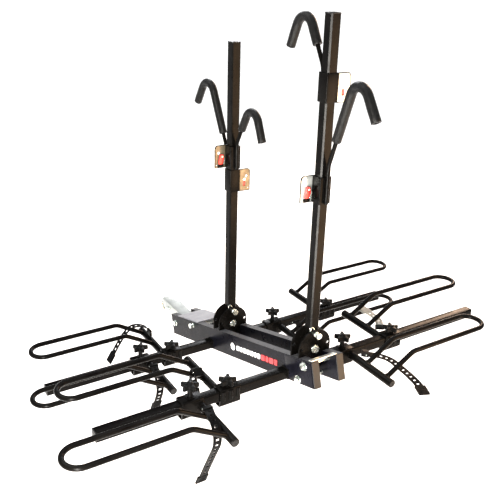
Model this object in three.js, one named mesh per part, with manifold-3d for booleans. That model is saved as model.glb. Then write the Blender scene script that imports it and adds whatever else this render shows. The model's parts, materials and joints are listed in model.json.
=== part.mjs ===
// Hitch mounted rack for four bicycles.
//
// Millimetres, +X rearward (away from the car), +Y across the car, +Z up. The origin is on the
// underside of the hitch tongue, straight below the axis of its hitch pin hole.
// The two spine rails climb towards the rear; the tongue, the arms and the cradles stay level and
// the uprights stay plumb.

import * as THREE from "three";
import { mergeVertices } from "three/addons/utils/BufferGeometryUtils.js";
import Module from "manifold-3d";

const wasm = await Module();
wasm.setup();

// ---------- driving dimensions ----------

const GAP = 0.4; // clearance between separate pieces that touch
const PITCH = THREE.MathUtils.degToRad(16.65); // climb of the spine

const TONGUE = { size: 50.8, wall: 5, front: -60, rear: 178, pinHole: 16.5 };
const LUG = { width: 46, radius: 11.5 }; // rear end of the tongue that the fold lock pin enters
const PIVOT = { x: 135, z: 28, bolt: 12 }; // the bolt that the whole rack folds up about

// Rail frame: s runs up along the rails and k down from their top face, both from the rear end.
const RAIL = { length: 975, height: 82, width: 25, wall: 2.5, gap: 64 };
const PIVOT_AT = { s: -939, k: 32.5 };
const LOCK_AT = { s: -767, k: 13 };
const COVER = { front: -906, rear: -735, thick: 4 };
const CROSS_BOLTS = { upper: { s: -36, k: 18 }, lower: { s: -76, k: 68 } };
const CROSS_BOLT_R = 5;
const TIE_BAR = { left: -54, right: 37, width: 16, thick: 4 };

const TUBE = { size: 31.75, wall: 2.5, corner: 4 }; // square tube of the uprights and the arms
const UPRIGHT_BACK = 80.3; // rear upright, ahead of the rails' rear end
const UPRIGHT_SPACING = 476.7;
const UPRIGHT = { below: 9, above: { front: 974, rear: 948 }, pivotAboveRail: 23 };
const PLATE = { radius: 57, thick: 5, play: 1, shoulder: 7, tail: 29.5, depth: 52 };
const HOLE = { pivot: 12.8, lock: 9, lockRadius: 50, folded: 80, low: 8.6 };

const ARM_AHEAD = 38.2; // arm centre, ahead of its upright's centre
const ARM_BELOW = 97.8; // rear arm centre, below the top of the rails' rear end
const ARM_ENDS = { left: -668, right: 748 };

const CLAMP = { length: 68, half: 21, top: 22, bottom: -38, chamfer: 10 };
const CROSS_TUBE = { radius: 12.7, offset: 24, end: 214 };
const LOOP = { rod: 8, inner: 92, outer: 181, rise: 65, bend: 108, left: 438, right: 454, bendRadius: 40 };
const KNOB = { radius: 27, waist: 14, height: 15, stem: 4, lobes: 5, hub: 9 };
const STRAP = { width: 24, thick: 3 };

const COLLAR = { height: 76, wall: 3, rodRadius: 6, rodOffset: 25.5 };
const FOAM = 13; // radius of the foam sleeve over a hook
// Hook rods: heights from the foot of the collar, lean of the stem and fall of the tip in degrees,
// drift of the stem along Y for each millimetre it climbs.
const LONG_HOOK = { knee: 110, apex: 337, lean: 22, fall: 33, bend: 38, tip: 72, bare: 77, drift: 0.055 };
const SHORT_HOOK = { knee: 86, apex: 204, lean: 29.5, fall: 24, bend: 38, tip: 65, bare: 57, drift: 0 };
const LATCH = { reach: 38, thick: 3, hole: 5, corner: 12, pin: 3 };
const LEVER = { length: 26, width: 13, thick: 8, height: 40 };

// ---------- materials ----------

const paint = (color, roughness = 0.38, metalness = 0.35) =>
  new THREE.MeshStandardMaterial({ color, roughness, metalness });
const black = () => paint(0x17171a);
const darkGrey = () => paint(0x2a2a2e);
const zinc = () => paint(0xc9cdc8, 0.3, 0.9);
const foam = () => paint(0x101011, 0.9, 0);
const plastic = () => paint(0x141415, 0.5, 0);
const red = () => paint(0xc4281f, 0.45, 0);

// ---------- solids ----------

function solid(geometry) {
  const bare = geometry.index ? geometry.toNonIndexed() : geometry.clone();
  bare.deleteAttribute("normal");
  bare.deleteAttribute("uv");
  const merged = mergeVertices(bare, 1e-4);
  return new wasm.Manifold(
    new wasm.Mesh({
      numProp: 3,
      vertProperties: new Float32Array(merged.attributes.position.array),
      triVerts: new Uint32Array(merged.index.array),
    }),
  );
}

function toGeometry(manifold) {
  const { vertProperties, triVerts } = manifold.getMesh();
  const geometry = new THREE.BufferGeometry();
  geometry.setAttribute("position", new THREE.BufferAttribute(new Float32Array(vertProperties), 3));
  geometry.setIndex(new THREE.BufferAttribute(new Uint32Array(triVerts), 1));
  geometry.computeVertexNormals();
  return geometry;
}

function piece(name, shape, material, at = [0, 0, 0]) {
  const mesh = new THREE.Mesh(toGeometry(shape), material);
  mesh.name = name;
  mesh.position.set(...at);
  return mesh;
}

const move = (shape, x = 0, y = 0, z = 0) => shape.translate([x, y, z]);

function box([x0, x1], [y0, y1], [z0, z1]) {
  const geometry = new THREE.BoxGeometry(x1 - x0, y1 - y0, z1 - z0);
  geometry.translate((x0 + x1) / 2, (y0 + y1) / 2, (z0 + z1) / 2);
  return solid(geometry);
}

// A round bar from one height to another along Z, or laid along X or Y.
function bar(axis, radius, from, to, sides = 12) {
  const geometry = new THREE.CylinderGeometry(radius, radius, to - from, sides);
  geometry.translate(0, (from + to) / 2, 0);
  if (axis === "x") geometry.rotateZ(-Math.PI / 2);
  if (axis === "z") geometry.rotateX(Math.PI / 2);
  return solid(geometry);
}

// A flat outline drawn in (across, up), made thick along X.
function slabAlongX(outline, from, to) {
  const geometry = new THREE.ExtrudeGeometry(outline, {
    depth: to - from,
    bevelEnabled: false,
    curveSegments: 10,
  });
  const upright = new THREE.Matrix4().set(0, 0, 1, from, 1, 0, 0, 0, 0, 1, 0, 0, 0, 0, 0, 1);
  geometry.applyMatrix4(upright);
  return solid(geometry);
}

// A flat outline drawn in (along, up), made thick along Y, centred on y = 0.
function slabAlongY(outline, thick) {
  const geometry = new THREE.ExtrudeGeometry(outline, {
    depth: thick,
    bevelEnabled: false,
    curveSegments: 8,
  });
  const laid = new THREE.Matrix4().set(1, 0, 0, 0, 0, 0, -1, thick / 2, 0, 1, 0, 0, 0, 0, 0, 1);
  geometry.applyMatrix4(laid);
  return solid(geometry);
}

function polygon(points) {
  return new THREE.Shape(points.map(([a, b]) => new THREE.Vector2(a, b)));
}

function roundedSquare(half, corner) {
  const shape = new THREE.Shape();
  const inner = half - corner;
  shape.moveTo(-inner, -half);
  shape.absarc(inner, -inner, corner, -Math.PI / 2, 0);
  shape.absarc(inner, inner, corner, 0, Math.PI / 2);
  shape.absarc(-inner, inner, corner, Math.PI / 2, Math.PI);
  shape.absarc(-inner, -inner, corner, Math.PI, 1.5 * Math.PI);
  return shape;
}

// Square tube along Z, closed at neither end.
function squareTube(size, wall, corner, from, to) {
  const outline = roundedSquare(size / 2, corner);
  outline.holes.push(roundedSquare(size / 2 - wall, Math.max(corner - wall, 1)));
  const geometry = new THREE.ExtrudeGeometry(outline, {
    depth: to - from,
    bevelEnabled: false,
    curveSegments: 2,
  });
  geometry.translate(0, 0, from);
  return solid(geometry);
}

// A path through corner points: every point is one step of the sweep.
class CornerPath extends THREE.Curve {
  constructor(points) {
    super();
    this.points = points;
  }
  getPoint(t, target = new THREE.Vector3()) {
    const place = Math.min(Math.max(t, 0), 1) * (this.points.length - 1);
    const first = Math.min(Math.floor(place), this.points.length - 2);
    return target.copy(this.points[first]).lerp(this.points[first + 1], place - first);
  }
  getPointAt(u, target) {
    return this.getPoint(u, target);
  }
  getTangent(t, target = new THREE.Vector3()) {
    const last = this.points.length - 1;
    const here = Math.round(Math.min(Math.max(t, 0), 1) * last);
    const before = this.points[Math.max(here - 1, 0)];
    const at = this.points[here];
    const after = this.points[Math.min(here + 1, last)];
    const incoming = at.clone().sub(before).normalize();
    const outgoing = after.clone().sub(at).normalize();
    return target.copy(incoming).add(outgoing).normalize();
  }
  getTangentAt(u, target) {
    return this.getTangent(u, target);
  }
}

function sweep(outline, points) {
  const geometry = new THREE.ExtrudeGeometry(outline, {
    steps: points.length - 1,
    extrudePath: new CornerPath(points),
    curveSegments: 1,
  });
  return solid(geometry);
}

function ngon(radius, sides) {
  const corner = (i) => {
    const angle = (2 * Math.PI * (i + 0.5)) / sides;
    return [radius * Math.cos(angle), radius * Math.sin(angle)];
  };
  return polygon(Array.from({ length: sides }, (_, i) => corner(i)));
}

// Replaces each inner corner of a polyline with an arc of the given radius.
function roundCorners(corners, radii, turnStep = THREE.MathUtils.degToRad(23)) {
  const points = [corners[0]];
  for (let i = 1; i < corners.length - 1; i += 1) {
    const into = corners[i].clone().sub(corners[i - 1]).normalize();
    const out = corners[i + 1].clone().sub(corners[i]).normalize();
    const turn = into.angleTo(out);
    const axis = new THREE.Vector3().crossVectors(into, out).normalize();
    const start = corners[i].clone().addScaledVector(into, -radii[i - 1] * Math.tan(turn / 2));
    const toCentre = new THREE.Vector3().crossVectors(axis, into).multiplyScalar(radii[i - 1]);
    const centre = start.clone().add(toCentre);
    const steps = Math.max(2, Math.ceil(turn / turnStep));
    for (let j = 0; j <= steps; j += 1) {
      const spoke = start.clone().sub(centre).applyAxisAngle(axis, (turn * j) / steps);
      points.push(centre.clone().add(spoke));
    }
  }
  points.push(corners[corners.length - 1]);
  return points;
}

// ---------- places ----------

// The spine folds up about the pivot bolt; the rail frame hangs on it.
const railFrame = new THREE.Matrix4()
  .makeTranslation(PIVOT.x, 0, PIVOT.z)
  .multiply(new THREE.Matrix4().makeRotationY(-PITCH))
  .multiply(new THREE.Matrix4().makeTranslation(-PIVOT_AT.s, 0, PIVOT_AT.k));
const onRail = (s, k, y = 0) => new THREE.Vector3(s, y, -k).applyMatrix4(railFrame);

const railEnd = onRail(0, 0);
const uprightX = { front: railEnd.x - UPRIGHT_BACK - UPRIGHT_SPACING, rear: railEnd.x - UPRIGHT_BACK };
const railTopAt = (x) => railEnd.z - (railEnd.x - x) * Math.tan(PITCH);
const foldZ = (end) => railTopAt(uprightX[end]) + UPRIGHT.pivotAboveRail;
const armX = (end) => uprightX[end] - ARM_AHEAD;
const armZ = (end) => railTopAt(armX(end)) - ARM_BELOW + (UPRIGHT_BACK + ARM_AHEAD) * Math.tan(PITCH);
const railOuter = RAIL.gap / 2 + RAIL.width;

// ---------- hitch tongue ----------

function hexHead(axis, radius, from, to) {
  return bar(axis, radius, from, to, 6);
}

function hitchTongue() {
  const { size, wall, front, rear, pinHole } = TONGUE;
  const half = size / 2;
  const tube = squareTube(size, wall, 6, front, rear).rotate([0, 90, 0]).translate([0, 0, half]);
  const lock = onRail(LOCK_AT.s, LOCK_AT.k);
  const slope = Math.atan2(lock.z - PIVOT.z, lock.x - PIVOT.x);
  const length = Math.hypot(lock.z - PIVOT.z, lock.x - PIVOT.x);
  const { width, radius } = LUG;
  const arm = box([0, length], [-width / 2, width / 2], [-radius, radius])
    .add(bar("y", radius, -width / 2, width / 2).translate([length, 0, 0]))
    .rotate([0, -THREE.MathUtils.radToDeg(slope), 0])
    .translate([PIVOT.x, 0, PIVOT.z]);
  const across = railOuter * 2;
  return tube
    .add(arm)
    .subtract(move(bar("y", pinHole / 2, -across, across), 0, 0, half))
    .subtract(move(bar("y", PIVOT.bolt / 2 + GAP, -across, across), PIVOT.x, 0, PIVOT.z))
    .subtract(move(bar("y", HOLE.lock / 2 + GAP, -across, across), lock.x, 0, lock.z));
}

// A bent pin: straight shank through the tongue, with its pull end turned up.
function hitchPin() {
  const r = 7.6;
  const reach = TONGUE.size / 2 + 16;
  const path = roundCorners(
    [
      new THREE.Vector3(0, reach, 0),
      new THREE.Vector3(0, -reach - 12, 0),
      new THREE.Vector3(-16, -reach - 12, 34),
    ],
    [14],
  );
  return sweep(ngon(r, 10), path);
}

// ---------- spine ----------

function rail(side) {
  const { length, height, width, wall, gap } = RAIL;
  const y0 = side * (gap / 2 + width / 2);
  const outer = box([-length, 0], [-width / 2, width / 2], [-height, 0]);
  const inner = box([-length - 1, 1], [wall - width / 2, width / 2 - wall], [wall - height, -wall]);
  let shape = outer.subtract(inner).translate([0, y0, 0]);
  const across = (radius, { s, k }) =>
    move(bar("y", radius, -railOuter - 5, railOuter + 5), s, 0, -k);
  shape = shape.subtract(across(PIVOT.bolt / 2 + GAP, PIVOT_AT));
  shape = shape.subtract(across(HOLE.lock / 2 + GAP, LOCK_AT));
  shape = shape.subtract(across(CROSS_BOLT_R + GAP, CROSS_BOLTS.upper));
  shape = shape.subtract(across(CROSS_BOLT_R + GAP, CROSS_BOLTS.lower));
  for (const end of ["front", "rear"]) {
    const half = TUBE.size / 2 + GAP;
    const inRail = new THREE.Vector3(armX(end), 0, armZ(end)).applyMatrix4(railFrame.clone().invert());
    const socket = box([-half, half], [-railOuter - 5, railOuter + 5], [-half, half])
      .rotate([0, THREE.MathUtils.radToDeg(PITCH), 0])
      .translate([inRail.x, 0, inRail.z]);
    shape = shape.subtract(socket);
  }
  return shape;
}

function railCap(side) {
  const { height, width, wall, gap } = RAIL;
  const flange = box([GAP, 3.4], [-width / 2, width / 2], [-height, 0]);
  const play = wall + 0.6;
  const plug = box([-14, 1], [play - width / 2, width / 2 - play], [play - height, -play]);
  return flange.add(plug).translate([0, side * (gap / 2 + width / 2), 0]);
}

function crossBolt() {
  const grip = railOuter + GAP;
  return bar("y", CROSS_BOLT_R, -grip - 3, grip + 10)
    .add(hexHead("y", 9, -grip - 7, -grip))
    .add(hexHead("y", 9, grip, grip + 8));
}

function pivotBoltThroughRails() {
  const grip = railOuter + GAP;
  return bar("y", PIVOT.bolt / 2, -grip - 3, grip + 12)
    .add(bar("y", 12.5, -grip - 2, -grip))
    .add(hexHead("y", 11, -grip - 9, -grip - 1))
    .add(bar("y", 12.5, grip, grip + 2))
    .add(hexHead("y", 11, grip + 1, grip + 10));
}

// Headed pin with a pull ring boss; its nose stops short of the piece it locks.
function plunger(noseLength) {
  return bar("z", HOLE.lock / 2, -noseLength, 6)
    .add(bar("z", 8.5, GAP, 5))
    .add(bar("z", 6, 4, 15))
    .add(bar("z", 9.5, 14, 19));
}

function arm(end) {
  const { size, wall, corner } = TUBE;
  return squareTube(size, wall, corner, ARM_ENDS.left, ARM_ENDS.right).rotate([-90, 0, 0]);
}

// Round-topped plate: its shoulders stand on the rails and its tail drops between them.
function pivotPlate(end, face) {
  const { radius, thick, play, shoulder, tail, depth } = PLATE;
  const near = face * (TUBE.size / 2 + play);
  const far = near + face * thick;
  const slope = Math.tan(PITCH);
  const base = -UPRIGHT.pivotAboveRail + Math.max(near * slope, far * slope) + GAP;
  const outline = new THREE.Shape();
  outline.moveTo(-radius, base);
  outline.lineTo(-tail, base);
  outline.lineTo(-tail, base - depth);
  outline.lineTo(tail, base - depth);
  outline.lineTo(tail, base);
  outline.lineTo(radius, base);
  outline.lineTo(radius, shoulder);
  outline.absarc(0, shoulder, radius, 0, Math.PI);
  const across = (r, y, z) => move(bar("x", r, -60, 60), 0, y, z);
  const folded = THREE.MathUtils.degToRad(90 - HOLE.folded);
  const ring = HOLE.lockRadius;
  return slabAlongX(outline, Math.min(near, far), Math.max(near, far))
    .subtract(across(HOLE.pivot / 2, 0, 0))
    .subtract(across(HOLE.lock / 2 + GAP, 0, ring))
    .subtract(across(HOLE.lock / 2 + GAP, ring * Math.cos(folded), ring * Math.sin(folded)))
    .subtract(across(HOLE.lock / 2 + GAP, -ring * Math.cos(folded), ring * Math.sin(folded)))
    .subtract(across(HOLE.low / 2, 0, base - depth / 2));
}

function foldBolt() {
  const grip = TUBE.size / 2 + PLATE.play + PLATE.thick + GAP;
  return bar("x", HOLE.pivot / 2 - GAP, -grip - 10, grip + 4)
    .add(bar("x", 13, grip, grip + 2))
    .add(hexHead("x", 10.5, grip + 1, grip + 8))
    .add(bar("x", 13, -grip - 2, -grip))
    .add(hexHead("x", 10.5, -grip - 9, -grip - 1));
}

function upright(above) {
  const { size, wall, corner } = TUBE;
  const tube = squareTube(size, wall, corner, -UPRIGHT.below, above);
  const foot = new THREE.Shape();
  foot.moveTo(-40, UPRIGHT.below + 40);
  foot.lineTo(-40, 0);
  foot.absarc(0, 0, size / 2 + 0.01, Math.PI, 2 * Math.PI);
  foot.lineTo(40, 0);
  foot.lineTo(40, above + 5);
  foot.lineTo(-40, above + 5);
  return tube
    .intersect(slabAlongX(foot, -40, 40))
    .subtract(bar("x", HOLE.pivot / 2, -30, 30))
    .subtract(move(bar("x", HOLE.lock / 2 + GAP, -30, 30), 0, 0, HOLE.lockRadius));
}

// ---------- hooks ----------

// Centre line of a hook, out along +X and up +Z, from the foot of its collar.
function hookPath({ knee, apex, lean, fall, bend, tip, drift }, face) {
  const leanTurn = THREE.MathUtils.degToRad(lean);
  const fallTurn = THREE.MathUtils.degToRad(fall);
  const sideways = -face * drift;
  const up = new THREE.Vector3(Math.sin(leanTurn), sideways, Math.cos(leanTurn)).normalize();
  const down = new THREE.Vector3(Math.sin(fallTurn), 0, -Math.cos(fallTurn));
  const setback = bend * Math.tan((Math.PI - leanTurn - fallTurn) / 2);
  const straight = (apex - knee - bend * (1 - Math.sin(leanTurn))) / Math.cos(leanTurn);
  const foot = new THREE.Vector3(COLLAR.rodOffset, 0, 2);
  const start = new THREE.Vector3(COLLAR.rodOffset, 0, knee);
  const corner = start.clone().addScaledVector(up, straight + setback);
  const end = corner.clone().addScaledVector(down, setback + tip);
  return roundCorners([foot, start, corner, end], [40, bend]);
}

// Splits a path at the point where a length has been covered, and gives the rest.
function pathFrom(points, length) {
  let left = length;
  for (let i = 1; i < points.length; i += 1) {
    const step = points[i].distanceTo(points[i - 1]);
    if (step > left) {
      const start = points[i - 1].clone().lerp(points[i], left / step);
      return [start, ...points.slice(i)];
    }
    left -= step;
  }
  return points.slice(-2);
}

function collar() {
  const half = TUBE.size / 2 + GAP;
  const outer = half + COLLAR.wall;
  return box([-outer, outer], [-outer, outer], [0, COLLAR.height]).subtract(
    box([-half, half], [-half, half], [-1, COLLAR.height + 1]),
  );
}

function latchPlate() {
  const outer = TUBE.size / 2 + GAP + COLLAR.wall;
  const { reach, thick, hole, corner } = LATCH;
  const edge = -outer - reach;
  const outline = new THREE.Shape();
  outline.moveTo(-outer + 2, 0);
  outline.lineTo(edge, 0);
  outline.lineTo(edge, COLLAR.height - corner);
  outline.absarc(edge + corner, COLLAR.height - corner, corner, Math.PI, Math.PI / 2, true);
  outline.lineTo(-outer + 2, COLLAR.height);
  return slabAlongX(outline, -outer, -outer + thick)
    .subtract(move(bar("x", hole, -60, 60), 0, edge + 14, COLLAR.height - 26))
    .add(move(bar("x", LATCH.pin, -outer, -outer + thick + LEVER.thick + 3, 10), 0, -outer - 16, LEVER.height));
}

// Collar, hook rod and latch plate welded into one piece.
function hookFrame(hook, face) {
  const rod = sweep(ngon(COLLAR.rodRadius, 8), trimEnd(hookPath(hook, face), 4));
  const outer = TUBE.size / 2 + GAP + COLLAR.wall;
  const weld = box([outer - 1, COLLAR.rodOffset], [-3, 3], [8, COLLAR.height - 8]);
  return collar().add(weld).add(rod).add(latchPlate());
}

function trimEnd(points, length) {
  return pathFrom([...points].reverse(), length).reverse();
}

function foamSleeve(hook, face) {
  const outline = ngon(FOAM, 10);
  outline.holes.push(ngon(COLLAR.rodRadius + GAP, 8));
  return sweep(outline, pathFrom(hookPath(hook, face), hook.knee + hook.bare));
}

// Thumb lever that hangs from its pin, with its tip turned out.
function releaseLever() {
  const { length, width, thick } = LEVER;
  const half = width / 2;
  const outline = new THREE.Shape();
  outline.moveTo(half, 0);
  outline.absarc(0, 0, half, 0, Math.PI);
  outline.lineTo(-half - 4, -length);
  outline.lineTo(half - 5, -length);
  outline.lineTo(half, -length * 0.5);
  return slabAlongX(outline, 0, thick).subtract(bar("x", LATCH.pin + GAP, -5, thick + 5, 12));
}

// ---------- wheel cradles ----------

// side +1 hangs behind the arm and -1 ahead of it; out +1 points to +Y and -1 to -Y.
function cradle(side, out) {
  const { length, half, top, bottom, chamfer } = CLAMP;
  const hole = TUBE.size / 2 + GAP;
  const outline = polygon([
    [-half, top],
    [-half, bottom + chamfer],
    [chamfer - half, bottom],
    [half - chamfer, bottom],
    [half, bottom + chamfer],
    [half, top],
  ]);
  outline.holes.push(polygon([[-hole, hole], [hole, hole], [hole, -hole], [-hole, -hole]]));
  const clamp = slabAlongY(outline, length)
    .subtract(bar("z", KNOB.stem + GAP, 0, 40, 12))
    .subtract(box([9 - half, half - 9], [-length, length], [bottom + 5, -hole - 4]));
  const tubeY = side * CROSS_TUBE.offset;
  const ends = [half - 2, CROSS_TUBE.end].map((d) => d * side);
  const tube = bar("x", CROSS_TUBE.radius, Math.min(...ends), Math.max(...ends), 12);
  const x1 = side * LOOP.inner;
  const x2 = side * LOOP.outer;
  const width = LOOP.outer - LOOP.inner;
  const end = out > 0 ? LOOP.right : LOOP.left;
  const y = (distance) => tubeY + out * distance;
  const path = roundCorners(
    [
      new THREE.Vector3(x1, y(2), 2),
      new THREE.Vector3(x1, y(LOOP.bend), LOOP.rise),
      new THREE.Vector3(x1, y(end - LOOP.rod), LOOP.rise),
      new THREE.Vector3(x2, y(end - LOOP.rod), LOOP.rise),
      new THREE.Vector3(x2, y(LOOP.bend), LOOP.rise),
      new THREE.Vector3(x2, y(2), 2),
    ],
    [LOOP.bendRadius, width / 2 - 0.1, width / 2 - 0.1, LOOP.bendRadius],
  );
  return clamp.add(tube.translate([0, tubeY, 0])).add(sweep(ngon(LOOP.rod, 8), path));
}

function starKnob(lift) {
  const { radius, waist, height, stem, lobes, hub } = KNOB;
  const points = [];
  for (let i = 0; i < lobes; i += 1) {
    const angle = (2 * Math.PI * i) / lobes + Math.PI / 2;
    const spread = [[-0.19, radius], [0.19, radius], [Math.PI / lobes, waist]];
    spread.forEach(([turn, r]) => points.push([r * Math.cos(angle + turn), r * Math.sin(angle + turn)]));
  }
  const star = new THREE.ExtrudeGeometry(polygon(points), { depth: height, bevelEnabled: false });
  const foot = TUBE.size / 2 + GAP - lift;
  return solid(star)
    .add(bar("z", hub, -5, 3, 12))
    .add(bar("z", stem, foot, 2, 10));
}

// A path that keeps the width of a flat band along one direction.
class BandPath extends CornerPath {
  constructor(points, across) {
    super(points);
    this.across = across;
  }
  computeFrenetFrames(segments) {
    const frames = { tangents: [], normals: [], binormals: [] };
    for (let i = 0; i <= segments; i += 1) {
      const tangent = this.getTangent(i / segments);
      const wide = this.across.clone().addScaledVector(tangent, -this.across.dot(tangent)).normalize();
      frames.tangents.push(tangent);
      frames.normals.push(wide);
      frames.binormals.push(new THREE.Vector3().crossVectors(tangent, wide));
    }
    return frames;
  }
}

// Strap routes: distance out along the cross tube, distance towards the loop, height.
const STRAP_ROUTES = {
  // over the inner leg of the loop, then hanging between its legs
  hanging: [
    [60, 4, 17.5],
    [80, 9, 25],
    [92, 12, 29.5],
    [106, 17, 32.5],
    [128, 22, 33],
    [150, 26, 28],
    [163, 28, 14],
    [167, 28, -8],
    [163, 28.5, -34],
    [150, 29, -62],
    [127, 29, -108],
    [96, 29, -172],
    [72, 29, -222],
  ],
  short: [
    [60, 4, 17.5],
    [80, 9, 25],
    [92, 12, 29.5],
    [106, 17, 32.5],
    [128, 22, 33],
    [150, 26, 28],
    [163, 28, 14],
    [167, 28, -8],
    [163, 28.5, -30],
    [152, 29, -55],
    [124, 29, -108],
  ],
  // under both legs of the loop, past the end of the cross tube
  across: [
    [50, 16, 17],
    [70, 38, 15],
    [92, 60, 14],
    [125, 72, 14],
    [169, 69, 14],
    [220, 62, 14],
    [267, 52, 13],
    [312, 34, 11],
  ],
  // the same, left short
  under: [
    [42, 16, 17],
    [66, 36, 14.5],
    [92, 56, 12],
    [125, 64, 12],
    [160, 66, 12],
    [198, 65, 12],
  ],
  // round the inner leg of the loop and straight down
  tucked: [
    [73, 29, 28],
    [81, 29, 38],
    [92, 29, 41],
    [103, 29, 38],
    [111, 29, 26],
    [113, 29, 6],
    [111, 29, -22],
    [104, 29, -54],
    [98, 29, -76],
  ],
  // arched up between the legs and down over the far side
  arched: [
    [136, 3, 17.5],
    [136, 1, 31],
    [136, 7, 47],
    [136, 24, 61],
    [136, 49, 70],
    [136, 75, 67],
    [136, 98, 47],
    [136, 121, 17],
    [136, 144, -20],
    [136, 163, -50],
  ],
};

function strap(side, out, route) {
  const { width, thick } = STRAP;
  const place = ([along, aside, z]) =>
    new THREE.Vector3(side * along, side * CROSS_TUBE.offset + out * aside, z);
  const points = STRAP_ROUTES[route].map(place);
  const across = route === "arched" ? new THREE.Vector3(1, 0, 0) : new THREE.Vector3(0, 1, 0);
  const section = polygon([
    [-width / 2, -thick / 2],
    [width / 2, -thick / 2],
    [width / 2, thick / 2],
    [-width / 2, thick / 2],
  ]);
  const sweepBand = (outline, path) =>
    solid(
      new THREE.ExtrudeGeometry(outline, {
        steps: path.length - 1,
        extrudePath: new BandPath(path, across),
      }),
    );
  const pad = polygon([
    [-width * 0.72, -thick],
    [width * 0.72, -thick],
    [width * 0.72, thick],
    [-width * 0.72, thick],
  ]);
  return sweepBand(section, points).add(sweepBand(pad, pathFrom(points, pathLength(points) - 36)));
}

function pathLength(points) {
  return points.slice(1).reduce((sum, point, i) => sum + point.distanceTo(points[i]), 0);
}

// ---------- assembly ----------

const rack = new THREE.Group();

rack.add(piece("hitch_tongue", hitchTongue(), zinc()));
rack.add(piece("hitch_pin", hitchPin(), zinc(), [0, 0, TONGUE.size / 2]));

const spine = new THREE.Group();
spine.position.set(railEnd.x, 0, railEnd.z);
spine.rotation.y = -PITCH;
rack.add(spine);

const inSpine = ({ s, k }) => [s, 0, -k];
spine.add(piece("fold_pivot_bolt", pivotBoltThroughRails(), zinc(), inSpine(PIVOT_AT)));
const lockPin = piece("fold_lock_pin", plunger(railOuter - LUG.width / 2 - 1), zinc());
lockPin.position.set(LOCK_AT.s, -railOuter, -LOCK_AT.k);
lockPin.rotation.x = Math.PI / 2;
spine.add(lockPin);
for (const [name, side] of [["left", -1], ["right", 1]]) {
  spine.add(piece(`rail_${name}`, rail(side), darkGrey()));
  spine.add(piece(`rail_cap_${name}`, railCap(side), plastic()));
}
const cover = box([COVER.front, COVER.rear], [-railOuter, railOuter], [GAP, COVER.thick]);
spine.add(piece("front_cover_plate", cover, darkGrey()));
const tie = box([-TIE_BAR.width, 0], [TIE_BAR.left, TIE_BAR.right], [GAP, TIE_BAR.thick]);
spine.add(piece("rear_tie_bar", tie, zinc()));
for (const [name, at] of Object.entries(CROSS_BOLTS)) {
  spine.add(piece(`cross_bolt_${name}`, crossBolt(), zinc(), inSpine(at)));
}

// Each upright with its plates, bolts, lock pin and two hooks.
const HOOKS = {
  front: [
    { name: "front_upper", height: 574, hook: SHORT_HOOK, face: 1 },
    { name: "front_lower", height: 495, hook: LONG_HOOK, face: -1 },
  ],
  rear: [
    { name: "rear_upper", height: 730, hook: SHORT_HOOK, face: -1 },
    { name: "rear_lower", height: 455, hook: LONG_HOOK, face: 1 },
  ],
};

for (const end of ["front", "rear"]) {
  const at = [uprightX[end], 0, foldZ(end)];
  rack.add(piece(`${end}_upright`, upright(UPRIGHT.above[end]), black(), at));
  rack.add(piece(`${end}_pivot_plate_a`, pivotPlate(end, -1), black(), at));
  rack.add(piece(`${end}_pivot_plate_b`, pivotPlate(end, 1), black(), at));
  rack.add(piece(`${end}_upright_bolt`, foldBolt(), zinc(), at));
  const grip = TUBE.size / 2 + PLATE.play + PLATE.thick;
  const pin = piece(`${end}_upright_pin`, plunger(PLATE.thick + PLATE.play - 0.5), zinc());
  pin.position.set(at[0] + grip, 0, at[2] + HOLE.lockRadius);
  pin.rotation.y = Math.PI / 2;
  rack.add(pin);

  for (const { name, height, hook: rod, face } of HOOKS[end]) {
    const hook = new THREE.Group();
    hook.position.set(at[0], 0, at[2] + height);
    if (face < 0) hook.rotation.z = Math.PI;
    hook.add(piece(`${name}_hook`, hookFrame(rod, face), black()));
    hook.add(piece(`${name}_hook_foam`, foamSleeve(rod, face), foam()));
    const outer = TUBE.size / 2 + GAP + COLLAR.wall;
    const leverAt = [LATCH.thick - outer + GAP, -outer - 16, LEVER.height];
    hook.add(piece(`${name}_release`, releaseLever(), red(), leverAt));
    rack.add(hook);
  }
}

// Cradles: y is the clamp's centre, side the side of the arm, out the way the loop points.
const CRADLES = {
  front: [
    { name: "front_left_inner", y: -220, side: -1, out: -1, route: "arched" },
    { name: "front_left_outer", y: -338, side: 1, out: -1, route: "short" },
    { name: "front_right_inner", y: 212, side: 1, out: 1, route: "tucked" },
    { name: "front_right_outer", y: 474, side: -1, out: 1, route: "tucked" },
  ],
  rear: [
    { name: "rear_left_inner", y: -267, side: -1, out: -1, route: "tucked" },
    { name: "rear_left_outer", y: -389, side: 1, out: -1, route: "hanging" },
    { name: "rear_right_inner", y: 158, side: 1, out: 1, route: "across" },
    { name: "rear_right_outer", y: 366, side: -1, out: 1, route: "under" },
  ],
};
const KNOB_LIFT = { "1": 53, "-1": 30 }; // screwed further out on the rear side of the arm

for (const end of ["front", "rear"]) {
  rack.add(piece(`${end}_arm`, arm(end), black(), [armX(end), 0, armZ(end)]));
  for (const { name, y, side, out, route } of CRADLES[end]) {
    const holder = new THREE.Group();
    holder.position.set(armX(end), y, armZ(end));
    holder.add(piece(`${name}_cradle`, cradle(side, out), black()));
    const lift = KNOB_LIFT[side];
    holder.add(piece(`${name}_knob`, starKnob(lift), plastic(), [0, 0, lift]));
    holder.add(piece(`${name}_strap`, strap(side, out, route), plastic()));
    rack.add(holder);
  }
}

export default rack;
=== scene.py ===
"""Looks of the hitch mounted bike rack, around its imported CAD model.

Lengths are in millimetres until a mesh is made.
"""

import json
import math

import bmesh
import bpy
from mathutils import Matrix, Vector, noise


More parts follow.
